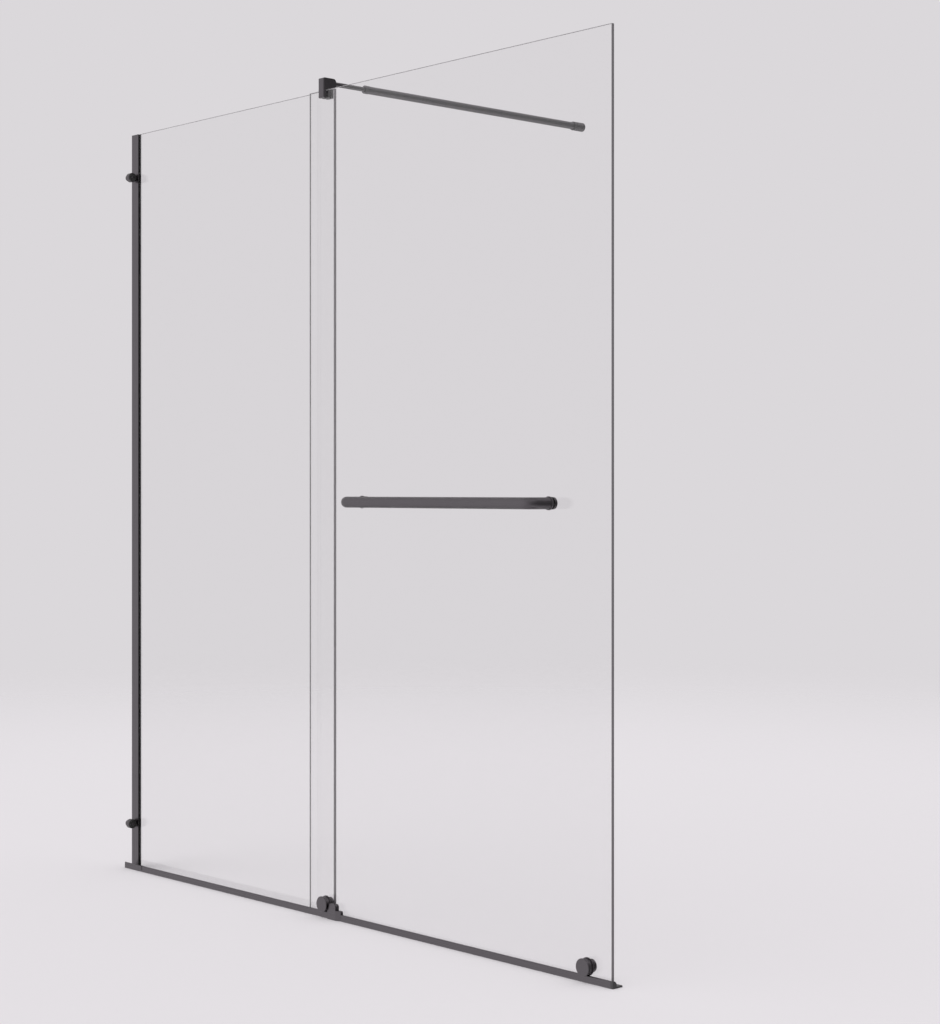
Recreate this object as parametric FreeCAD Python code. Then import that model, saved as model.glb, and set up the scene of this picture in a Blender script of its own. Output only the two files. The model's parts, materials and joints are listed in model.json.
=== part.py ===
import FreeCAD, Part
import math
import os

# A shower screen with one fixed glass panel and one sliding glass door that rolls on a floor rail.
# Millimetres. X runs along the glass from the wall at X = 0 to the free end of the rail.
# Y = 0 is the mid-plane of the fixed panel, +Y points into the shower. Z = 0 is the floor.
# The door runs in front of the fixed panel, on its -Y side, and is drawn at the right end of its travel.

V = FreeCAD.Vector
ALONG_X = V(1, 0, 0)
ALONG_Y = V(0, 1, 0)
ALONG_Z = V(0, 0, 1)

# ---------------------------------------------------------------- driving dimensions

# Glass
glass_t = 8.0             # thickness of both panes
glass_top = 1950.0        # top edge of the fixed panel
fixed_reach = 860.0       # free edge of the fixed panel, from the wall
door_w = 985.0            # width of the sliding pane
glass_overlap = 75.0      # how far the open door still covers the fixed panel
door_drop = 3.0           # door's top edge below the fixed panel's
door_lift = 9.5           # door's bottom edge above the floor
polish = 0.6              # chamfer on the long edges of the panes

# Wall profile, a channel screwed to the wall
profile_reach = 30.0      # from the wall to its open edge
profile_wall = 1.5
profile_web = 2.0
glass_bite = 18.0         # depth of fixed glass held in the channel
gasket_t = 1.5            # glazing gasket between glass and channel wall
gasket_w = 15.0
gasket_proud = 0.5        # gasket lip past the open edge
profile_cap_t = 1.5       # cap on the profile's top, level with the glass
profile_cap_air = 0.3     # slot of the cap round the glass
wall_screw_r = 2.6        # clearance holes for wall screws
wall_screw_end = 105.0    # first and last hole, from floor and top
wall_screw_count = 4

# Floor rail
rail_base_t = 3.5
rail_short = 4.0          # base ends this far before the fixed panel's rear face
rib_t = 4.2               # upright rib that the rollers run on
rib_h = 15.5
rail_tail = 10.0          # rail past the open door's edge
rail_cap_t = 2.0          # end cap at the wall
rail_nose_t = 6.0         # end cap at the free end, as high as the rib
nose_reach = 7.8          # how far it stands behind the rib
nose_round = 9.0
notch_air = 0.3           # round the wall profile's foot

# Glazing channel under the fixed panel, hooked behind the rail's base
channel_wall = 1.2
channel_floor = 1.5
channel_top = 8.0
channel_air = 0.5         # sealant line beside the glass
channel_rear = 0.2        # channel past the fixed panel's rear face
pad_t = 1.0               # setting pads under the glass
pad_len = 40.0
pad_inset = 50.0

# Rollers
roller_inset = 66.0       # axle from the door's side edges
tread_r = 16.4
wheel_air = 0.3           # running line between tread and rib
flange_depth = 2.5
flange_t = 2.2            # the one flange, between rib and glass
wheel_lead = 1.8          # tread in front of the rib
groove_air = 0.4          # each side of the rib
wheel_glass_air = 0.7     # wheel's back face to the glass
wheel_edge = 0.5
axle_r = 4.0
axle_shoulder_r = 6.0
bearing_r = 11.0
bearing_w = 7.0
bearing_ring_t = 2.0
ball_r = 1.8
ball_air = 0.3
ball_count = 7
cap_r = 18.6
cap_t = 7.8
cap_plate_t = 3.3         # the cap's visible disc, in front of its hub
cap_hub_r = 16.0
cap_edge = 0.9
cap_air = 0.4             # between turning wheel and still cap
roller_hole_r = 8.0       # hole in the glass
roller_gasket_t = 0.8
roller_gasket_r = 9.5
disc_r = 14.0             # clamping nut behind the glass

# Fixings behind the door
rear_gasket_t = 1.0
rear_cap_t = 7.2
pass_air = 1.3            # rear fixings to the fixed panel as they pass it
thread_air = 0.05         # radial air of screws, studs and axles in their holes
blind_wall = 1.7          # metal left at the bottom of blind holes

# Door handle, one bent tube
handle_z = 977.0
handle_inset = 198.0      # left post from the door's left edge
handle_span = 609.0       # between the posts
handle_out = 55.5         # tube axis from the glass
tube_r = 12.5
tube_wall = 1.5
bend_r = 14.0
rosette_r = 14.5
rosette_t = 3.0
handle_gasket_t = 1.0
handle_gasket_r = 13.0
insert_len = 15.0
stud_r = 4.0
stud_bite = 12.0
stud_hole_r = 6.5         # hole in the glass
rear_disc_r = 13.0

# Guide and stop block on the rail
guide_len = 26.8
guide_cheek_front = 4.8   # metal in front of the rail
guide_h = 37.0
guide_round = 6.0         # rounded top corners
guide_rear_t = 6.5
guide_rear_h = 18.0
guide_floor_t = 3.0
guide_foot = 14.7
guide_step_h = 23.0       # lower step of the block, over its foot
slide_air = 0.3           # door glass to plastic guides
liner_t = 0.7
guide_fit = 0.1           # block over the rail
floor_air = 0.3
guide_gap = 0.3           # block's side past the left roller
guide_flange_air = 0.3    # block in front of the roller's flange
bumper_h = 6.0
bumper_lift = 0.6         # over the rib's crown
bumper_air = 0.35         # rubber to the resting wheel
foot_screw_r = 2.0
foot_screw_head_r = 3.6
foot_screw_head_t = 1.4

# Track stop near the wall
track_stop_len = 23.5
track_stop_air = 1.9      # from the closed door's wheel
track_stop_wall = 1.5

# Top clamp over both panes
clamp_w = 21.0
clamp_inset = 12.0        # clamp's right side from the fixed panel's free edge
clamp_bridge = 24.5
clamp_drop = 22.0
clamp_front_jaw = 7.0
clamp_rear_jaw = 4.0
clamp_liner_t = 1.0
clamp_round = 8.0
clamp_soft = 4.0          # rounded corners of its front
grub_r = 2.5
grub_recess = 0.4
hex_r = 1.3
hex_depth = 1.5

# Stabiliser arm from the clamp to the back wall
arm_lift = 14.5           # arm axis above the clamp's slots
arm_reach = 856.0         # back wall from the fixed panel's mid-plane
rod_r = 5.5
rod_seat = 12.0
rod_bare = 98.0           # rod seen between clamp and locking collar
rod_inside = 260.0
arm_tube_r = 9.2
arm_tube_wall = 1.5
bush_len = 18.0
run_air = 0.06            # rod in its bushes, radial
collar_len = 13.0
collar_wall = 0.6
collar_lip = 2.0
soft_edge = 0.6           # small chamfers on collar and socket
slider_len = 15.0
socket_len = 27.0
socket_wall = 2.3
socket_base = 6.0
socket_hole_r = 2.6
ring_len = 7.5
ring_wall = 2.2
ring_gap = 2.0

# Door stops at the wall
stop_top_gap = 115.0      # upper stop below the glass top
stop_floor_gap = 118.0    # lower stop above the floor
stop_stem_r = 8.0
stop_stem_len = 7.0
stop_head_r = 12.0        # metal cup on the stem
stop_cup_len = 14.0
stop_cup_round = 2.0      # bevel at the cup's back
stop_pad_r = 11.0         # rubber pad on the cup
stop_pad_t = 4.0
stop_foot_len = 14.0
stop_foot_h = 12.0
stop_screw_r = 2.0
stop_screw_head_r = 3.6
stop_screw_head_t = 1.6
stop_recess = 0.6
stop_screw_bite = 9.0
door_stop_air = 1.0       # door edge to rubber when it is closed

# ---------------------------------------------------------------- places worked out from the sizes

half_glass = glass_t / 2
pane_gap = rear_gasket_t + rear_cap_t + pass_air
door_rear = -half_glass - pane_gap
door_front = door_rear - glass_t
door_left = fixed_reach - glass_overlap
door_right = door_left + door_w
door_top = glass_top - door_drop

profile_half = half_glass + gasket_t + profile_wall
profile_top = glass_top - profile_cap_t
fixed_left = profile_reach - glass_bite
fixed_bottom = rail_base_t + channel_floor + pad_t
rail_back = half_glass - rail_short

wheel_rear = door_front - wheel_glass_air
rib_rear = wheel_rear - flange_t - groove_air
rib_front = rib_rear - rib_t
rib_mid = (rib_front + rib_rear) / 2
wheel_front = rib_front - wheel_lead
wheel_mid = (wheel_front + wheel_rear) / 2
flange_front = rib_rear + groove_air
flange_r = tread_r + flange_depth
axle_z = rib_h + wheel_air + tread_r
roller_xs = {"left": door_left + roller_inset, "right": door_right - roller_inset}
cap_back = wheel_front - cap_air
cap_front = cap_back - cap_t
bearing_front = wheel_mid - bearing_w / 2
bearing_rear = wheel_mid + bearing_w / 2
inner_ring_r = axle_r + bearing_ring_t
outer_ring_r = bearing_r - bearing_ring_t
ball_track_r = (inner_ring_r + outer_ring_r) / 2
rear_face = door_rear + rear_gasket_t
rear_end = rear_face + rear_cap_t

rail_len = door_right + rail_tail

handle_xs = {"left": door_left + handle_inset, "right": door_left + handle_inset + handle_span}
bar_y = door_front - handle_out
post_end = door_front - handle_gasket_t

guide_x0 = roller_xs["left"] + max(flange_r, cap_r) + guide_gap
guide_x1 = guide_x0 + guide_len
guide_nose = roller_xs["left"] + tread_r + guide_gap
guide_nose_back = flange_front - guide_flange_air
slot_front = door_front - slide_air - liner_t
slot_rear = door_rear + slide_air + liner_t
guide_front = rib_front - guide_cheek_front
guide_back = slot_rear + guide_rear_t

stop_y = -profile_half - stop_head_r
stop_zs = {"upper": glass_top - stop_top_gap, "lower": stop_floor_gap}
stop_cup_end = stop_stem_len + stop_cup_len
stop_face = stop_cup_end + stop_pad_t
door_travel = door_left - stop_face - door_stop_air

clamp_x1 = fixed_reach - clamp_inset
clamp_x0 = clamp_x1 - clamp_w
clamp_x = (clamp_x0 + clamp_x1) / 2
clamp_roof = glass_top + clamp_liner_t
clamp_foot = clamp_roof - clamp_drop
clamp_top = clamp_roof + clamp_bridge
clamp_front = slot_front - clamp_front_jaw
clamp_back = half_glass + clamp_liner_t + clamp_rear_jaw

arm_z = clamp_roof + arm_lift
collar_y0 = clamp_back + rod_bare
tube_y0 = collar_y0 + collar_lip
socket_y0 = arm_reach - socket_len
tube_y1 = arm_reach - socket_base
arm_tube_bore = arm_tube_r - arm_tube_wall
rod_y0 = clamp_back - rod_seat
rod_y1 = tube_y0 + rod_inside


# ---------------------------------------------------------------- shape helpers

def block(x0, x1, y0, y1, z0, z1):
    """A box between two corners."""
    return Part.makeBox(x1 - x0, y1 - y0, z1 - z0, V(x0, y0, z0))


def rod_x(radius, x0, x1, y, z):
    """A cylinder along X."""
    return Part.makeCylinder(radius, x1 - x0, V(x0, y, z), ALONG_X)


def rod_y(radius, y0, y1, x, z):
    """A cylinder along Y."""
    return Part.makeCylinder(radius, y1 - y0, V(x, y0, z), ALONG_Y)


def rod_z(radius, z0, z1, x, y):
    """A cylinder along Z."""
    return Part.makeCylinder(radius, z1 - z0, V(x, y, z0), ALONG_Z)


def tube_y(outer, inner, y0, y1, x, z):
    """A tube or washer along Y."""
    return rod_y(outer, y0, y1, x, z).cut(rod_y(inner, y0 - 1, y1 + 1, x, z))


def turned(outline, x, z):
    """A solid turned about the line along Y through (x, z). The outline is a list of (radius, y)."""
    corners = [V(x + radius, y, z) for radius, y in outline]
    face = Part.Face(Part.makePolygon(corners + corners[:1]))
    return face.revolve(V(x, 0, z), ALONG_Y, 360)


def turned_x(outline, y, z):
    """A solid turned about the line along X through (y, z). The outline is a list of (radius, x)."""
    corners = [V(x, y, z + radius) for radius, x in outline]
    face = Part.Face(Part.makePolygon(corners + corners[:1]))
    return face.revolve(V(0, y, z), ALONG_X, 360)


def edges_along(shape, direction):
    """The straight edges of a shape that run along a direction."""
    found = []
    for edge in shape.Edges:
        if edge.Curve.TypeId == "Part::GeomLine" and abs(abs(edge.tangentAt(0) * direction) - 1) < 1e-6:
            found.append(edge)
    return found


def hexagon_hole(radius, depth, start, direction):
    """A hexagonal socket for a key, cut from a start point along a direction."""
    across = ALONG_Z if abs(direction * ALONG_Z) < 0.5 else ALONG_X
    side = direction.cross(across)
    corners = []
    for k in range(6):
        turn = math.radians(60 * k)
        corners.append(start + across * (radius * math.cos(turn)) + side * (radius * math.sin(turn)))
    return Part.Face(Part.makePolygon(corners + corners[:1])).extrude(direction * depth)


def grub_screw(radius, start, direction, length):
    """A headless screw with a key socket. It starts at its outer end and runs along a direction."""
    body = Part.makeCylinder(radius, length, start, direction)
    return body.cut(hexagon_hole(hex_r, hex_depth, start, direction))


nodes = {}


def keep(name, *solids):
    """Stores one node. Several solids stay separate in one compound."""
    nodes[name] = solids[0] if len(solids) == 1 else Part.makeCompound(list(solids))


# ---------------------------------------------------------------- wall side

def pane(x0, x1, y0, y1, z0, z1):
    """A glass pane with polished edges: small chamfers round both faces."""
    sheet = block(x0, x1, y0, y1, z0, z1)
    rims = edges_along(sheet, ALONG_X) + edges_along(sheet, ALONG_Z)
    return sheet.makeChamfer(polish, rims)


def wall_side():
    """The fixed panel, its wall profile and what seats it there."""
    z1 = profile_top
    profile = block(0, profile_reach, -profile_half, profile_half, 0, z1)
    inner = profile_half - profile_wall
    profile = profile.cut(block(profile_web, profile_reach + 1, -inner, inner, -1, z1 + 1))
    first = wall_screw_end
    pitch = (glass_top - 2 * wall_screw_end) / (wall_screw_count - 1)
    for k in range(wall_screw_count):
        profile = profile.cut(rod_x(wall_screw_r, -1, profile_web + 1, 0, first + k * pitch))
    keep("wall_profile", profile)

    cap = block(0, profile_reach, -profile_half, profile_half, z1, glass_top)
    rim = [e for e in cap.Edges if e.BoundBox.ZMin > glass_top - 0.01 and e.BoundBox.XMax > 0.01]
    cap = cap.makeChamfer(profile_cap_t / 3, rim)
    slot = half_glass + profile_cap_air
    slot_x = fixed_left - profile_cap_air
    keep("wall_profile_cap", cap.cut(block(slot_x, profile_reach + 1, -slot, slot, z1 - 1, glass_top + 1)))

    x0 = profile_reach - gasket_w
    x1 = profile_reach + gasket_proud
    for side, y0 in (("front", -half_glass - gasket_t), ("rear", half_glass)):
        keep("wall_gasket_" + side, block(x0, x1, y0, y0 + gasket_t, fixed_bottom, z1))

    keep("fixed_panel", pane(fixed_left, fixed_reach, -half_glass, half_glass, fixed_bottom, glass_top))


# ---------------------------------------------------------------- floor rail

def rail_section(x, grow=0.0):
    """The rail's section at one X, as a face. The rib's crown is half round. grow widens it all round."""
    front = rib_front - grow
    rear = rib_rear + grow
    radius = (rear - front) / 2
    shoulder = rib_h + grow - radius
    base_top = rail_base_t + grow
    points = [
        V(x, front, 0 - grow),
        V(x, rail_back + grow, 0 - grow),
        V(x, rail_back + grow, base_top),
        V(x, rear, base_top),
        V(x, rear, shoulder),
    ]
    lines = [Part.LineSegment(a, b).toShape() for a, b in zip(points, points[1:])]
    crown = Part.Arc(points[-1], V(x, (front + rear) / 2, shoulder + radius), V(x, front, shoulder))
    last = Part.LineSegment(V(x, front, shoulder), points[0]).toShape()
    return Part.Face(Part.Wire(lines + [crown.toShape(), last]))


def floor_rail():
    """The rail, its end caps, the glazing channel with its setting pads, and the track stop."""
    nose_x = rail_len - rail_nose_t
    rail = rail_section(rail_cap_t).extrude(V(nose_x - rail_cap_t, 0, 0))
    left_cap = rail_section(0).extrude(V(rail_cap_t, 0, 0))
    foot = profile_half + notch_air
    notch = block(-1, profile_reach + notch_air, -foot, foot, -1, rail_base_t + 1)
    keep("bottom_rail", rail.cut(notch))
    keep("rail_end_cap_left", left_cap.cut(notch))

    nose_back = rib_rear + nose_reach
    nose = block(nose_x, rail_len, rib_mid, nose_back, 0, rib_h)
    nose_edge = [e for e in edges_along(nose, ALONG_X)
                 if e.BoundBox.ZMin > rib_h - 0.01 and e.BoundBox.YMin > nose_back - 0.01]
    nose = nose.makeFillet(min(nose_round, nose_back - rib_mid - 0.1), nose_edge)
    right_cap = rail_section(nose_x).extrude(V(rail_nose_t, 0, 0))
    keep("rail_end_cap_right", right_cap.fuse(nose).removeSplitter())

    x0 = profile_reach + gasket_proud
    inner = half_glass + channel_air
    channel_back = half_glass + channel_rear
    floor = rail_base_t + channel_floor
    channel = block(x0, fixed_reach, -inner - channel_wall, channel_back, rail_base_t, channel_top)
    channel = channel.cut(block(x0 - 1, fixed_reach + 1, -inner, channel_back + 1, floor, channel_top + 1))
    hook = block(x0, fixed_reach, rail_back, channel_back, 0, floor)
    keep("glazing_channel", channel.fuse(hook).removeSplitter())
    pads = []
    for middle in (x0 + pad_inset, fixed_reach - pad_inset):
        pads.append(block(middle - pad_len / 2, middle + pad_len / 2, -half_glass, half_glass, floor, fixed_bottom))
    keep("setting_pads", *pads)

    flange_low = math.sqrt(flange_r ** 2 - tread_r ** 2)
    x1 = roller_xs["left"] - door_travel - flange_low - track_stop_air
    x0 = x1 - track_stop_len
    width = rib_t / 2 + track_stop_wall
    stop = block(x0, x1, rib_mid - width, rib_mid + width, rail_base_t, rib_h)
    stop = stop.makeFillet(width * 0.6, edges_along(stop, ALONG_Z))
    stop = stop.cut(rail_section(x0 - 1).extrude(V(track_stop_len + 2, 0, 0)))
    cheeks = sorted(stop.Solids, key=lambda s: s.CenterOfMass.y)
    keep("track_stop", *cheeks)


# ---------------------------------------------------------------- guide and stop block

def guide_block():
    """The block on the rail that guides the door's foot and stops its left roller."""
    step_end = guide_x1 + guide_foot
    nose = block(guide_nose, guide_x1, guide_front, guide_nose_back, floor_air, guide_h)
    cheek = block(guide_x0, guide_x1, guide_nose_back, slot_front, floor_air, guide_h)
    seat_z = rail_base_t
    plate = block(guide_x0, step_end, slot_front, guide_back, seat_z, seat_z + guide_floor_t)
    rear = block(guide_x0, guide_x1, slot_rear, guide_back, seat_z, guide_rear_h)
    nose_top, cheek_top = ([e for e in edges_along(part, ALONG_Y) if e.BoundBox.ZMin > guide_h - 0.01]
                           for part in (nose, cheek))
    rear_top = [e for e in edges_along(rear, ALONG_Y) if e.BoundBox.ZMin > guide_rear_h - 0.01]
    corner = min(guide_round, guide_len / 2 - 0.1)
    body = nose.makeFillet(corner, nose_top).fuse(cheek.makeFillet(corner, cheek_top))
    body = body.fuse(plate).fuse(rear.makeFillet(corner / 2, rear_top))
    plan = [V(x, y, floor_air) for x, y in (
        (guide_x0, guide_front),
        (guide_x1, guide_front),
        (step_end, rib_front),
        (step_end, slot_front),
        (guide_x0, slot_front),
    )]
    step = Part.Face(Part.makePolygon(plan + plan[:1])).extrude(V(0, 0, guide_step_h - floor_air))
    step_corner = [e for e in edges_along(step, ALONG_Y)
                   if e.BoundBox.ZMin > guide_step_h - 0.01 and e.BoundBox.XMin > guide_x1]
    body = body.fuse(step.makeFillet(corner / 2, step_corner))
    rail = rail_section(guide_nose - 1, guide_fit).extrude(V(step_end - guide_nose + 2, 0, 0))
    below = block(guide_nose - 1, step_end + 1, rib_mid, guide_back + 1, -1, seat_z)
    front_of_rail = rail.common(block(guide_nose - 1, step_end + 1, -99, slot_front, -1, rib_h + 1))
    body = body.cut(front_of_rail).cut(below)
    screw_x = guide_x1 + guide_foot / 2
    screw_y = (slot_front + slot_rear) / 2
    body = body.cut(rod_z(foot_screw_r + thread_air, seat_z - 1, seat_z + guide_floor_t + 1, screw_x, screw_y))
    keep("guide_block", body.removeSplitter())

    z0 = seat_z + guide_floor_t
    liner = block(guide_x0, guide_x1, slot_front, slot_rear, z0, guide_rear_h)
    liner = liner.cut(block(guide_x0 - 1, guide_x1 + 1, slot_front + liner_t, slot_rear - liner_t, z0 + liner_t, 99))
    keep("guide_liner", liner)

    head_z = seat_z + guide_floor_t
    shank = rod_z(foot_screw_r, seat_z, head_z, screw_x, screw_y)
    head = rod_z(foot_screw_head_r, head_z, head_z + foot_screw_head_t, screw_x, screw_y)
    socket = hexagon_hole(hex_r, foot_screw_head_t * 0.7, V(screw_x, screw_y, head_z + foot_screw_head_t), -ALONG_Z)
    keep("guide_screw", shank.fuse(head).cut(socket).removeSplitter())

    z0 = rib_h + bumper_lift
    z1 = z0 + bumper_h
    wheel_side = roller_xs["left"] + math.sqrt(tread_r ** 2 - (axle_z - z1) ** 2)
    bumper = block(wheel_side + bumper_air, guide_nose, wheel_front, guide_nose_back, z0, z1)
    bumper = bumper.makeFillet(1.0, edges_along(bumper, ALONG_Z))
    keep("guide_bumper", bumper)


# ---------------------------------------------------------------- top clamp and stabiliser arm

def u_liner(x0, x1, inner0, inner1, wall, foot, roof):
    """A thin inverted channel that lines a slot."""
    shell = block(x0, x1, inner0 - wall, inner1 + wall, foot, roof)
    return shell.cut(block(x0 - 1, x1 + 1, inner0, inner1, foot - 1, roof - wall))


def top_clamp():
    """The clamp that grips the fixed panel's top edge and guides the door's."""
    body = block(clamp_x0, clamp_x1, clamp_front, clamp_back, clamp_foot, clamp_top)
    top_edges = [e for e in edges_along(body, ALONG_X) if e.BoundBox.ZMin > clamp_top - 0.01]
    body = body.makeFillet(clamp_round, [e for e in top_edges if e.BoundBox.YMin > clamp_back - 0.01])
    body = body.makeFillet(clamp_soft, [e for e in body.Edges if e.BoundBox.YMax < clamp_front + 0.01])
    body = body.cut(block(clamp_x0 - 1, clamp_x1 + 1, slot_front, slot_rear, clamp_foot - 1, clamp_roof))
    half = half_glass + clamp_liner_t
    body = body.cut(block(clamp_x0 - 1, clamp_x1 + 1, -half, half, clamp_foot - 1, clamp_roof))
    body = body.cut(rod_y(rod_r + thread_air, rod_y0, clamp_back + 1, clamp_x, arm_z))

    grub_zs = [clamp_foot + clamp_drop * share for share in (0.3, 0.75)]
    grubs = []
    for z in grub_zs:
        body = body.cut(rod_y(grub_r + thread_air, half, clamp_back + 1, clamp_x, z))
        start = V(clamp_x, clamp_back - grub_recess, z)
        grubs.append(grub_screw(grub_r, start, -ALONG_Y, clamp_rear_jaw - grub_recess))
    rod_lock_y = clamp_back - rod_seat * 0.6
    rod_top = arm_z + math.sqrt(rod_r ** 2 - grub_r ** 2)
    body = body.cut(rod_z(grub_r + thread_air, arm_z, clamp_top + 1, clamp_x, rod_lock_y))
    lock = grub_screw(grub_r, V(clamp_x, rod_lock_y, clamp_top - grub_recess), -ALONG_Z,
                      clamp_top - grub_recess - rod_top)
    lock = lock.cut(rod_y(rod_r, rod_y0, clamp_back, clamp_x, arm_z))
    keep("clamp_body", body)
    keep("clamp_grub_screws", *grubs)
    keep("arm_rod_lock_screw", lock)
    keep("clamp_glass_liner", u_liner(clamp_x0, clamp_x1, -half_glass, half_glass, clamp_liner_t,
                                      clamp_foot, clamp_roof))
    keep("clamp_guide_liner", u_liner(clamp_x0, clamp_x1, door_front - slide_air, door_rear + slide_air,
                                      liner_t, clamp_foot, clamp_roof))


def stabiliser_arm():
    """The telescopic arm: a rod in the clamp, and a tube in a socket on the back wall."""
    x = clamp_x
    z = arm_z
    keep("arm_rod", rod_y(rod_r, rod_y0, rod_y1, x, z))
    keep("arm_tube", tube_y(arm_tube_r, arm_tube_bore, tube_y0, tube_y1, x, z))
    keep("arm_tube_bush", tube_y(arm_tube_bore, rod_r + run_air, tube_y0, tube_y0 + bush_len, x, z))
    slider = tube_y(arm_tube_bore - run_air, rod_r, rod_y1 - slider_len, rod_y1, x, z)
    keep("arm_rod_slider", slider)

    outer = arm_tube_r + collar_wall
    collar = turned([
        (rod_r + run_air, collar_y0),
        (outer - soft_edge, collar_y0),
        (outer, collar_y0 + soft_edge),
        (outer, collar_y0 + collar_len),
        (arm_tube_r, collar_y0 + collar_len),
        (arm_tube_r, tube_y0),
        (rod_r + run_air, tube_y0),
    ], x, z)
    screw_y = tube_y0 + bush_len / 2
    screw_hole = rod_z(grub_r + thread_air, z - outer - 1, z, x, screw_y)
    keep("arm_collar", collar.cut(screw_hole))
    for name in ("arm_tube", "arm_tube_bush"):
        nodes[name] = nodes[name].cut(screw_hole)
    length = outer - grub_recess - rod_r - slide_air
    keep("arm_lock_screw", grub_screw(grub_r, V(x, screw_y, z - outer + grub_recess), ALONG_Z, length))

    outer = arm_tube_r + socket_wall
    keep("wall_socket", turned([
        (socket_hole_r, arm_reach),
        (outer, arm_reach),
        (outer, socket_y0 + soft_edge),
        (outer - soft_edge, socket_y0),
        (arm_tube_r, socket_y0),
        (arm_tube_r, tube_y1),
        (socket_hole_r, tube_y1),
    ], x, z))
    ring_y1 = socket_y0 - ring_gap
    keep("wall_socket_ring", tube_y(arm_tube_r + ring_wall, arm_tube_r, ring_y1 - ring_len, ring_y1, x, z))


# ---------------------------------------------------------------- door stops on the wall profile

def wall_stops():
    """Two rubber-headed stops that meet the door's left edge."""
    screws = []
    soft = stop_pad_t / 4
    for place, z in stop_zs.items():
        cup = turned_x([
            (0, 0),
            (stop_stem_r, 0),
            (stop_stem_r, stop_stem_len),
            (stop_head_r - stop_cup_round, stop_stem_len),
            (stop_head_r, stop_stem_len + stop_cup_round),
            (stop_head_r, stop_cup_end - soft),
            (stop_head_r - soft, stop_cup_end),
            (0, stop_cup_end),
        ], stop_y, z)
        foot = block(0, stop_foot_len, stop_y, -profile_half, z - stop_foot_h / 2, z + stop_foot_h / 2)
        hole_x0 = stop_cup_end - stop_screw_bite
        hole = rod_x(stop_screw_r + thread_air, hole_x0, stop_cup_end + 1, stop_y, z)
        keep("wall_stop_%s_bracket" % place, cup.fuse(foot).cut(hole).removeSplitter())
        seat = stop_face - stop_recess - stop_screw_head_t
        keep("wall_stop_%s_buffer" % place, turned_x([
            (stop_screw_r + thread_air, stop_cup_end),
            (stop_pad_r, stop_cup_end),
            (stop_pad_r, stop_face - soft),
            (stop_pad_r - soft, stop_face),
            (stop_screw_head_r + slide_air, stop_face),
            (stop_screw_head_r + slide_air, seat),
            (stop_screw_r + thread_air, seat),
        ], stop_y, z))
        shank = rod_x(stop_screw_r, hole_x0, seat, stop_y, z)
        head = rod_x(stop_screw_head_r, seat, seat + stop_screw_head_t, stop_y, z)
        key = hexagon_hole(hex_r, hex_depth, V(seat + stop_screw_head_t, stop_y, z), -ALONG_X)
        screws.append(shank.fuse(head).cut(key).removeSplitter())
    keep("wall_stop_screws", *screws)


# ---------------------------------------------------------------- door

def sliding_pane():
    """The sliding pane with holes for the rollers and the handle."""
    sheet = pane(door_left, door_right, door_front, door_rear, door_lift, door_top)
    for x in roller_xs.values():
        sheet = sheet.cut(rod_y(roller_hole_r, door_front - 1, door_rear + 1, x, axle_z))
    for x in handle_xs.values():
        sheet = sheet.cut(rod_y(stud_hole_r, door_front - 1, door_rear + 1, x, handle_z))
    keep("sliding_door", sheet)


def bent_tube(radius):
    """The handle's path swept with one radius: post, bend, bar, bend, post."""
    left = handle_xs["left"]
    right = handle_xs["right"]
    chord = bend_r * (1 - math.cos(math.pi / 4))
    start = V(left, post_end, handle_z)
    bend_a = V(left, bar_y + bend_r, handle_z)
    bend_b = V(left + bend_r, bar_y, handle_z)
    bend_c = V(right - bend_r, bar_y, handle_z)
    bend_d = V(right, bar_y + bend_r, handle_z)
    end = V(right, post_end, handle_z)
    path = Part.Wire([
        Part.LineSegment(start, bend_a).toShape(),
        Part.Arc(bend_a, V(left + chord, bar_y + chord, handle_z), bend_b).toShape(),
        Part.LineSegment(bend_b, bend_c).toShape(),
        Part.Arc(bend_c, V(right - chord, bar_y + chord, handle_z), bend_d).toShape(),
        Part.LineSegment(bend_d, end).toShape(),
    ])
    section = Part.Wire(Part.makeCircle(radius, start, ALONG_Y))
    return path.makePipeShell([section], True, True)


def door_handle():
    """The handle tube and, at each post, its insert, rosette, gaskets, stud, sleeve and rear disc."""
    bore = tube_r - tube_wall
    keep("handle_bar", bent_tube(tube_r).cut(bent_tube(bore)))
    groups = {"inserts": [], "studs": [], "sleeves": [], "gaskets": []}
    stud_y0 = post_end - stud_bite
    stud_y1 = rear_end - blind_wall
    for side, x in handle_xs.items():
        insert = rod_y(bore, post_end - insert_len, post_end, x, handle_z)
        insert = insert.cut(rod_y(stud_r + thread_air, stud_y0, post_end + 1, x, handle_z))
        groups["inserts"].append(insert)
        groups["studs"].append(rod_y(stud_r, stud_y0, stud_y1, x, handle_z))
        groups["sleeves"].append(tube_y(stud_hole_r, stud_r + thread_air, door_front, door_rear, x, handle_z))
        front = tube_y(handle_gasket_r, stud_r + thread_air, post_end, door_front, x, handle_z)
        rear = tube_y(rear_disc_r, stud_r + thread_air, door_rear, rear_face, x, handle_z)
        groups["gaskets"] += [front, rear]
        soft = rosette_t / 3
        keep("handle_rosette_" + side, turned([
            (tube_r, post_end - rosette_t),
            (rosette_r - soft, post_end - rosette_t),
            (rosette_r, post_end - rosette_t + soft),
            (rosette_r, post_end),
            (tube_r, post_end),
        ], x, handle_z))
        keep("handle_rear_disc_" + side, turned([
            (0, stud_y1),
            (stud_r + thread_air, stud_y1),
            (stud_r + thread_air, rear_face),
            (rear_disc_r, rear_face),
            (rear_disc_r, rear_end - soft),
            (rear_disc_r - soft, rear_end),
            (0, rear_end),
        ], x, handle_z))
    for name, solids in groups.items():
        keep("handle_" + name, *solids)


# ---------------------------------------------------------------- rollers

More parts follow.
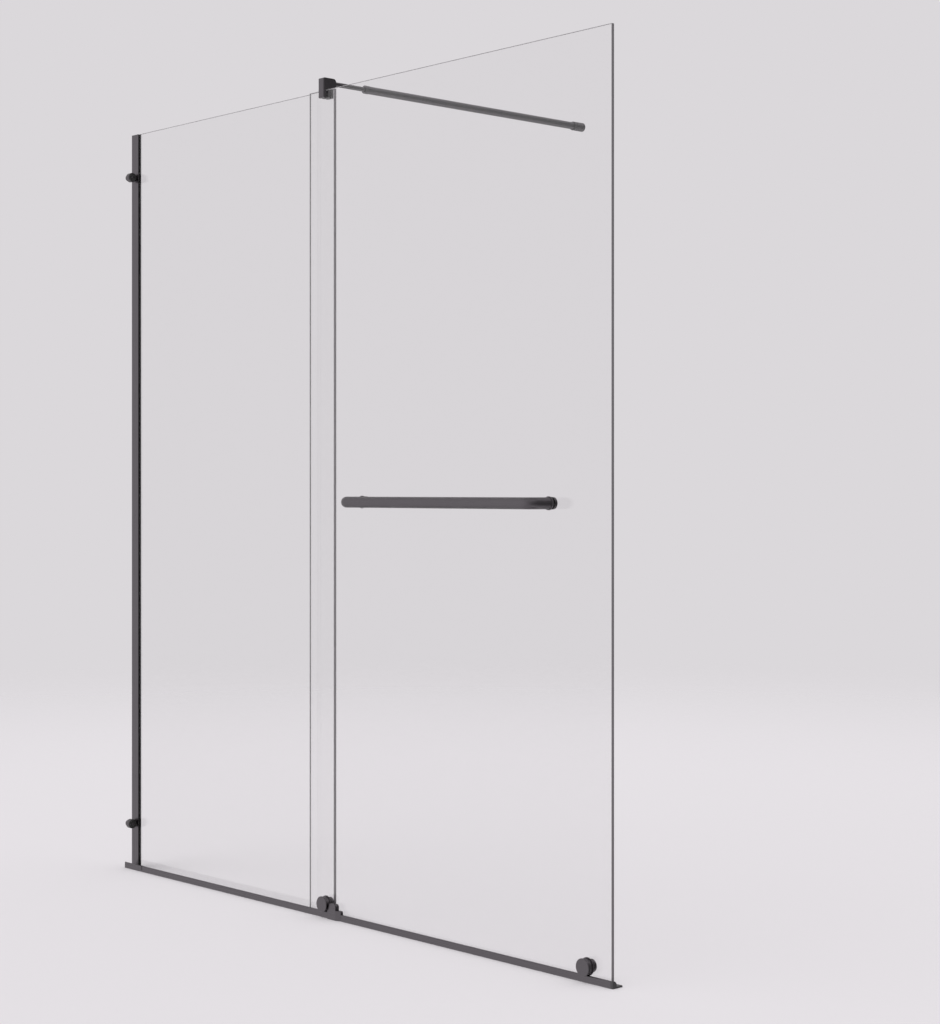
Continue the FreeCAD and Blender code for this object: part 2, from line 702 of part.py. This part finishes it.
def flanged_wheel(x):
    """The wheel: a tread that runs on the rib, and one flange behind the rib."""
    return turned([
        (bearing_r, wheel_front),
        (tread_r - wheel_edge, wheel_front),
        (tread_r, wheel_front + wheel_edge),
        (tread_r, flange_front),
        (flange_r - wheel_edge, flange_front),
        (flange_r, flange_front + wheel_edge),
        (flange_r, wheel_rear - wheel_edge),
        (flange_r - wheel_edge, wheel_rear),
        (bearing_r, wheel_rear),
    ], x, axle_z)


def bearing(x):
    """A ball bearing: inner ring, outer ring and balls."""
    track = Part.makeTorus(ball_track_r, ball_r + ball_air, V(x, wheel_mid, axle_z), ALONG_Y)
    inner = tube_y(inner_ring_r, axle_r, bearing_front, bearing_rear, x, axle_z).cut(track)
    outer = tube_y(bearing_r, outer_ring_r, bearing_front, bearing_rear, x, axle_z).cut(track)
    balls = []
    for k in range(ball_count):
        turn = 2 * math.pi * k / ball_count
        centre = V(x + ball_track_r * math.sin(turn), wheel_mid, axle_z + ball_track_r * math.cos(turn))
        balls.append(Part.makeSphere(ball_r, centre))
    return inner, outer, balls


def roller(side, x):
    """One roller: axle, cap, wheel, bearing, bush and gaskets in the glass, and the rear nut."""
    z = axle_z
    gasket_front = door_front - roller_gasket_t
    plate_back = cap_front + cap_plate_t
    axle_y0 = cap_front + blind_wall
    axle_y1 = rear_end - blind_wall
    axle = rod_y(axle_r, axle_y0, axle_y1, x, z)
    keep("roller_axle_" + side, axle.fuse(rod_y(axle_shoulder_r, bearing_rear, gasket_front, x, z)).removeSplitter())
    keep("roller_cap_" + side, turned([
        (0, cap_front),
        (cap_r - cap_edge, cap_front),
        (cap_r, cap_front + cap_edge),
        (cap_r, plate_back - cap_edge / 2),
        (cap_r - cap_edge / 2, plate_back),
        (cap_hub_r, plate_back),
        (cap_hub_r, cap_back),
        (axle_shoulder_r, cap_back),
        (axle_shoulder_r, bearing_front),
        (axle_r, bearing_front),
        (axle_r, axle_y0),
        (0, axle_y0),
    ], x, z))
    keep("roller_wheel_" + side, flanged_wheel(x))
    inner, outer, balls = bearing(x)
    keep("bearing_inner_" + side, inner)
    keep("bearing_outer_" + side, outer)
    keep("bearing_balls_" + side, *balls)
    keep("roller_bush_" + side, tube_y(roller_hole_r, axle_r, door_front, door_rear, x, z))
    keep("roller_nut_" + side, turned([
        (0, axle_y1),
        (axle_r, axle_y1),
        (axle_r, rear_face),
        (disc_r, rear_face),
        (disc_r, rear_end - cap_edge),
        (disc_r - cap_edge, rear_end),
        (0, rear_end),
    ], x, z))
    front = tube_y(roller_gasket_r, axle_r, gasket_front, door_front, x, z)
    rear = tube_y(disc_r, axle_r, door_rear, rear_face, x, z)
    return [front, rear]


# ---------------------------------------------------------------- build and write

def build():
    """Makes every node."""
    wall_side()
    floor_rail()
    guide_block()
    top_clamp()
    stabiliser_arm()
    wall_stops()
    sliding_pane()
    door_handle()
    gaskets = []
    for side, x in roller_xs.items():
        gaskets += roller(side, x)
    keep("roller_gaskets", *gaskets)


build()
os.makedirs("parts", exist_ok=True)
for name, shape in nodes.items():
    shape.exportStep("parts/%s.step" % name)
print("%d nodes, door travel %.1f mm, wheel turns %.3f rad per metre" % (len(nodes), door_travel, 1000 / tread_r))
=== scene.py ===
import json
import math

import bpy
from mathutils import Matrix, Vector


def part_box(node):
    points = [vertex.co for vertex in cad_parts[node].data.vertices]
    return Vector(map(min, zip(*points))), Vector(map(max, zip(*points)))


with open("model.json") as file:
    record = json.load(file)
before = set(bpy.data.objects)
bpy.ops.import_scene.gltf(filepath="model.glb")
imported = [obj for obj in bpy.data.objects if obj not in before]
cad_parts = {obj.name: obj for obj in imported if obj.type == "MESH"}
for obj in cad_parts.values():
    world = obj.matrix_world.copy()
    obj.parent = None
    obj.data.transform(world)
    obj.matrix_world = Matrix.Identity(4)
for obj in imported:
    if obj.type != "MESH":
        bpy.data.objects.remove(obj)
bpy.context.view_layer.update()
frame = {"nodes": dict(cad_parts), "record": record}

# ---------------------------------------------------------------- values
# Every length is in metres, every colour is linear unless it says sRGB.

IMAGE_HEIGHT = 1024  # pixels
HORIZON_ROW = 490.2  # picture row of the horizon: the camera is level
FOCAL_PIXELS = 2018.0
SENSOR = 36.0  # millimetres, as lenses are counted
CAMERA_PLACE = (4.5732, -2.9877, 1.0042)
CAMERA_TURN = math.radians(47.394)
CAMERA_REACH = 200.0

BACKDROP = (219, 216, 219)  # sRGB, what the camera sees behind the object
FLOOR_COLOUR = (229, 226, 229)  # sRGB
FLOOR_CENTRE = (0.9, 0.3, 0.0)
FLOOR_RADIUS = 9.0
FLOOR_CORNERS = 128
FLOOR_FADE_START = 2.3  # the floor fades into the backdrop between these distances
FLOOR_FADE_END = 7.0

AMBIENT = 0.78  # world strength on matt surfaces
AMBIENT_COLOUR = (1.0, 0.99, 1.0, 1.0)
SUN = 0.85
SUN_SOFTNESS = math.radians(45.0)
SUN_FROM = Vector((-1.0, -2.2, 3.6))

SHEEN_COLOUR = (1.0, 0.985, 1.0, 1.0)  # of the world that metal mirrors
SHEEN_BRIGHT = 0.72  # its brightness towards the bright side
SHEEN_DARK = 0.14  # and away from it
SHEEN_ABOVE = 0.55  # and from high above or far below
BRIGHT_SIDE = Vector((-0.736, -0.677, 0.0))
SHEEN_TURN = (-0.9, 0.95)  # the gradient's ends, as a direction's share of the bright side
SHEEN_STEEP = (0.25, 0.7)  # and as a direction's height

GLASS_IOR = 1.5
GLASS_TINT = (0.965, 0.962, 0.965, 1.0)
GLASS_PASS = (0.96, 0.96, 0.96, 1.0)  # what a pane lets through of lamps and ambient light
GLASS_EDGE_PAINTED_SHADE = (118, 115, 118)  # sRGB, painted shade on the upright polished edges, standing in for the light and shade inside the glass
GLASS_RIM_PAINTED_HIGHLIGHT = (188, 185, 188)  # sRGB, lighter painted grey, a painted highlight, on the upper and lower edges and the fine bevels
GLASS_INNER = 0.65  # how much of the edge's painted grey shows from inside the pane
SQUARE_ON = 0.9  # a face looks along an axis when its normal has more than this on it

GRAPHITE = (112, 108, 112)  # sRGB
STEEL = (0.55, 0.55, 0.56, 1.0)
GASKET = (0.80, 0.80, 0.79, 1.0)
BLACK_RUBBER = (0.02, 0.02, 0.02, 1.0)
GREY_NYLON = (0.06, 0.058, 0.06, 1.0)
BLACK_NYLON = (0.03, 0.03, 0.03, 1.0)

BRUSH_LONG = 9.0  # brush lines per metre along a piece
BRUSH_ACROSS = 1400.0  # and across it
FINE_GRAIN = [900.0] * 3  # noise per metre on X, Y and Z
GASKET_GRAIN = [300.0] * 3
NOISE_LOW = 0.25  # most of the noise lies between these values
NOISE_HIGH = 0.75


def linear(rgb):
    """sRGB 0-255 to linear RGBA."""
    def channel(c):
        c /= 255.0
        return c / 12.92 if c <= 0.04045 else ((c + 0.055) / 1.055) ** 2.4

    return tuple(channel(c) for c in rgb) + (1.0,)


# ---------------------------------------------------------------- materials


class Shader:
    """The node tree of a material or a world, with short names for the calls that repeat."""

    def __init__(self, owner):
        owner.use_nodes = True
        self.tree = owner.node_tree
        self.tree.nodes.clear()

    def node(self, kind, **settings):
        made = self.tree.nodes.new(kind)
        for key, value in settings.items():
            setattr(made, key, value)
        return made

    def link(self, source, target):
        self.tree.links.new(source, target)

    def math(self, operation, a, b=None):
        """Math node on sockets or numbers."""
        made = self.node("ShaderNodeMath", operation=operation)
        for index, value in enumerate((a, b)):
            if value is None:
                continue
            if isinstance(value, (int, float)):
                made.inputs[index].default_value = value
            else:
                self.link(value, made.inputs[index])
        return made.outputs[0]

    def remap(self, value, low, high, start=0.0, end=1.0):
        """value from start..end to low..high, clamped."""
        made = self.node("ShaderNodeMapRange")
        self.link(value, made.inputs["Value"])
        ends = {"From Min": start, "From Max": end, "To Min": low, "To Max": high}
        for name, number in ends.items():
            made.inputs[name].default_value = number
        return made.outputs["Result"]

    def vary(self, noise, low, high):
        """Noise spread over low..high."""
        return self.remap(noise, low, high, NOISE_LOW, NOISE_HIGH)

    def mix(self, factor, first, second):
        made = self.node("ShaderNodeMixShader")
        self.link(factor, made.inputs["Fac"])
        self.link(first, made.inputs[1])
        self.link(second, made.inputs[2])
        return made.outputs[0]

    def blend(self, factor, first, second):
        """Colour between two linear colours."""
        made = self.node("ShaderNodeMix", data_type="RGBA")
        self.link(factor, made.inputs["Factor"])
        # the colour sockets of a Mix node come after its float and vector ones
        made.inputs[6].default_value = first
        made.inputs[7].default_value = second
        return made.outputs[2]

    def noise(self, scale, detail=3.0, rough=0.55):
        """Noise in the object's own space; scale is per metre along X, Y and Z."""
        place = self.node("ShaderNodeTexCoord")
        stretch = self.node("ShaderNodeMapping")
        stretch.inputs["Scale"].default_value = scale
        self.link(place.outputs["Object"], stretch.inputs["Vector"])
        made = self.node("ShaderNodeTexNoise")
        made.inputs["Scale"].default_value = 1.0
        made.inputs["Detail"].default_value = detail
        made.inputs["Roughness"].default_value = rough
        self.link(stretch.outputs["Vector"], made.inputs["Vector"])
        return made.outputs["Fac"]

    def bump(self, height, strength, depth):
        made = self.node("ShaderNodeBump")
        made.inputs["Strength"].default_value = strength
        made.inputs["Distance"].default_value = depth
        self.link(height, made.inputs["Height"])
        return made.outputs["Normal"]

    def principled(self, **values):
        """Principled shader; an underscore in a name stands for the space in its socket's."""
        made = self.node("ShaderNodeBsdfPrincipled")
        for name, value in values.items():
            made.inputs[name.replace("_", " ")].default_value = value
        return made

    def after_mirror(self):
        """1 for a ray that metal or glass has mirrored, also once it has passed through glass."""
        path = self.node("ShaderNodeLightPath")
        return self.math("GREATER_THAN", path.outputs["Glossy Depth"], 0.5)

    def surface(self, shader):
        out = self.node("ShaderNodeOutputMaterial")
        self.link(shader, out.inputs["Surface"])


def solid(name, colour, rough, grain, shade, spread=0.06, metal=0.0, strength=0.1, depth=0.0001):
    """Opaque material with fine procedural grain.

    grain is noise per metre on X, Y and Z. spread and shade are how far the noise moves the
    roughness and the colour, and strength and depth set its relief.
    """
    material = bpy.data.materials.new(name)
    s = Shader(material)
    bsdf = s.principled(Metallic=metal, IOR=1.5)
    noise = s.noise(grain)
    s.link(s.vary(noise, rough - spread, rough + spread), bsdf.inputs["Roughness"])
    darker = tuple(c * (1 - shade) for c in colour[:3]) + (1.0,)
    lighter = tuple(min(1.0, c * (1 + shade)) for c in colour[:3]) + (1.0,)
    s.link(s.blend(s.vary(noise, 0.0, 1.0), darker, lighter), bsdf.inputs["Base Color"])
    s.link(s.bump(noise, strength, depth), bsdf.inputs["Normal"])
    s.surface(bsdf.outputs[0])
    return material


def brushed(name, colour, rough):
    """Three brushed metals, for pieces that are long on X, Y and Z."""
    made = []
    for axis in range(3):
        grain = [BRUSH_ACROSS] * 3
        grain[axis] = BRUSH_LONG
        made.append(solid(
            f"{name}_{'xyz'[axis]}", colour, rough, grain,
            shade=0.05, spread=0.05, metal=1.0, strength=0.12, depth=0.00004,
        ))
    return made


def plain(name, colour, rough, shade):
    """One material with fine grain, whichever way the piece is long."""
    return [solid(name, colour, rough, FINE_GRAIN, shade)] * 3


def glass():
    """Clear glass whose edges are painted grey in place of the light and shade inside them: a
    darker painted shade on the upright edges, a lighter painted highlight on the upper and lower
    edges and bevels. Lamps and ambient light pass straight through.
    """
    material = bpy.data.materials.new("clear_glass")
    s = Shader(material)
    pane = s.principled(
        Base_Color=GLASS_TINT, Roughness=0.0, IOR=GLASS_IOR, Transmission_Weight=1.0)
    # painted edge: its grey is painted shade and painted highlight, not a colour of the glass
    edge = s.principled(Roughness=0.25, IOR=GLASS_IOR)
    where = s.node("ShaderNodeNewGeometry")
    facing = s.node("ShaderNodeSeparateXYZ")
    s.link(where.outputs["True Normal"], facing.inputs[0])
    upright = s.math("GREATER_THAN", s.math("ABSOLUTE", facing.outputs["X"]), SQUARE_ON)
    s.link(s.blend(upright, linear(GLASS_RIM_PAINTED_HIGHLIGHT), linear(GLASS_EDGE_PAINTED_SHADE)), edge.inputs["Base Color"])
    on_edge = s.math("LESS_THAN", s.math("ABSOLUTE", facing.outputs["Y"]), SQUARE_ON)
    shown = s.remap(where.outputs["Backfacing"], 1.0, GLASS_INNER)
    look = s.mix(s.math("MULTIPLY", on_edge, shown), pane.outputs[0], edge.outputs[0])
    clear = s.node("ShaderNodeBsdfTransparent")
    clear.inputs["Color"].default_value = GLASS_PASS
    path = s.node("ShaderNodeLightPath")
    look = s.mix(path.outputs["Is Diffuse Ray"], look, clear.outputs[0])
    s.surface(s.mix(path.outputs["Is Shadow Ray"], look, clear.outputs[0]))
    return material


def gasket():
    """Milky, half clear plastic."""
    material = bpy.data.materials.new("clear_gasket")
    s = Shader(material)
    soft = s.principled(Base_Color=GASKET, IOR=1.45, Transmission_Weight=0.55)
    s.link(s.vary(s.noise(GASKET_GRAIN), 0.3, 0.45), soft.inputs["Roughness"])
    s.surface(soft.outputs[0])
    return material


# For each material slot of the record, the materials of pieces long on X, Y and Z.
MATERIALS = {
    "clear_glass": [glass()] * 3,
    "clear_gasket": [gasket()] * 3,
    "graphite_metal": brushed("graphite_metal", linear(GRAPHITE), 0.30),
    "steel": brushed("steel", STEEL, 0.28),
    "black_rubber": plain("black_rubber", BLACK_RUBBER, 0.75, 0.15),
    "grey_nylon": plain("grey_nylon", GREY_NYLON, 0.4, 0.08),
    "black_nylon": plain("black_nylon", BLACK_NYLON, 0.45, 0.1),
}


def long_axis(node):
    """0, 1 or 2: the axis on which the node's box is longest."""
    low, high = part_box(node)
    return max(range(3), key=lambda i: high[i] - low[i])


for part in frame["record"]["subparts"]:
    piece = frame["nodes"][part["node"]]
    finish = MATERIALS[part["material_slot"]][long_axis(part["node"])]
    for material_slot in piece.material_slots:
        material_slot.material = finish

# ---------------------------------------------------------------- floor


def make_floor():
    """Round floor that fades out with distance, so that it has no edge and no horizon."""
    bpy.ops.mesh.primitive_circle_add(
        vertices=FLOOR_CORNERS, radius=FLOOR_RADIUS, fill_type="NGON", location=FLOOR_CENTRE)
    floor = bpy.context.object
    floor.name = "studio_floor"
    material = bpy.data.materials.new("studio_floor")
    s = Shader(material)
    place = s.node("ShaderNodeTexCoord")
    reach = s.node("ShaderNodeVectorMath", operation="LENGTH")
    s.link(place.outputs["Object"], reach.inputs[0])
    fade = s.node("ShaderNodeMapRange", interpolation_type="SMOOTHSTEP")
    s.link(reach.outputs["Value"], fade.inputs["Value"])
    fade.inputs["From Min"].default_value = FLOOR_FADE_START
    fade.inputs["From Max"].default_value = FLOOR_FADE_END
    below = s.node("ShaderNodeNewGeometry")
    matt = s.node("ShaderNodeBsdfDiffuse")
    matt.inputs["Color"].default_value = linear(FLOOR_COLOUR)
    clear = s.node("ShaderNodeBsdfTransparent")
    gone = s.math("MAXIMUM", fade.outputs["Result"], below.outputs["Backfacing"])
    gone = s.math("MAXIMUM", gone, s.after_mirror())  # metal mirrors the world's gradient
    s.surface(s.mix(gone, matt.outputs[0], clear.outputs[0]))
    floor.data.materials.append(material)


make_floor()

# ---------------------------------------------------------------- light


def make_world():
    """Plain pale backdrop. Metal mirrors a soft gradient: one side is bright, the other dark."""
    world = bpy.data.worlds.new("studio")
    bpy.context.scene.world = world
    s = Shader(world)
    path = s.node("ShaderNodeLightPath")

    def light(colour, strength):
        made = s.node("ShaderNodeBackground")
        made.inputs["Color"].default_value = colour
        made.inputs["Strength"].default_value = strength
        return made

    seen = light(linear(BACKDROP), 1.0)
    ambient = light(AMBIENT_COLOUR, AMBIENT)
    mirrored = light(SHEEN_COLOUR, 1.0)
    place = s.node("ShaderNodeTexCoord")
    side = s.node("ShaderNodeVectorMath", operation="DOT_PRODUCT")
    s.link(place.outputs["Generated"], side.inputs[0])
    side.inputs[1].default_value = BRIGHT_SIDE
    level = s.remap(side.outputs["Value"], SHEEN_DARK, SHEEN_BRIGHT, *SHEEN_TURN)
    height = s.node("ShaderNodeSeparateXYZ")
    s.link(place.outputs["Generated"], height.inputs[0])
    steep = s.remap(s.math("ABSOLUTE", height.outputs["Z"]), 0.0, SHEEN_ABOVE, *SHEEN_STEEP)
    s.link(s.math("MAXIMUM", level, steep), mirrored.inputs["Strength"])
    behind = s.math("MAXIMUM", path.outputs["Is Camera Ray"], path.outputs["Is Transmission Ray"])
    lit = s.mix(behind, ambient.outputs[0], seen.outputs[0])
    not_diffuse = s.math("SUBTRACT", 1.0, path.outputs["Is Diffuse Ray"])
    mirrors = s.math("MULTIPLY", s.after_mirror(), not_diffuse)
    out = s.node("ShaderNodeOutputWorld")
    s.link(s.mix(mirrors, lit, mirrored.outputs[0]), out.inputs["Surface"])


def make_sun():
    """One wide, soft sun. Glass and metal don't mirror it: they mirror the world's gradient."""
    lamp = bpy.data.lights.new("sun", "SUN")
    lamp.energy = SUN
    lamp.angle = SUN_SOFTNESS
    holder = bpy.data.objects.new("sun", lamp)
    bpy.context.collection.objects.link(holder)
    holder.rotation_euler = (-SUN_FROM).to_track_quat("-Z", "Y").to_euler()
    holder.visible_camera = False
    holder.visible_glossy = False
    holder.visible_transmission = False


make_world()
make_sun()

# ---------------------------------------------------------------- camera


def make_camera():
    """Level camera; the shift puts the horizon at its row of the picture."""
    data = bpy.data.cameras.new("camera")
    data.sensor_fit = "VERTICAL"
    data.sensor_height = SENSOR
    data.lens = FOCAL_PIXELS / IMAGE_HEIGHT * SENSOR
    data.shift_y = (HORIZON_ROW - IMAGE_HEIGHT / 2) / IMAGE_HEIGHT
    data.clip_end = CAMERA_REACH
    camera = bpy.data.objects.new("camera", data)
    camera.location = CAMERA_PLACE
    camera.rotation_euler = (math.pi / 2, 0.0, CAMERA_TURN)
    bpy.context.collection.objects.link(camera)
    bpy.context.scene.camera = camera


make_camera()
bpy.context.scene.view_settings.view_transform = "Standard"
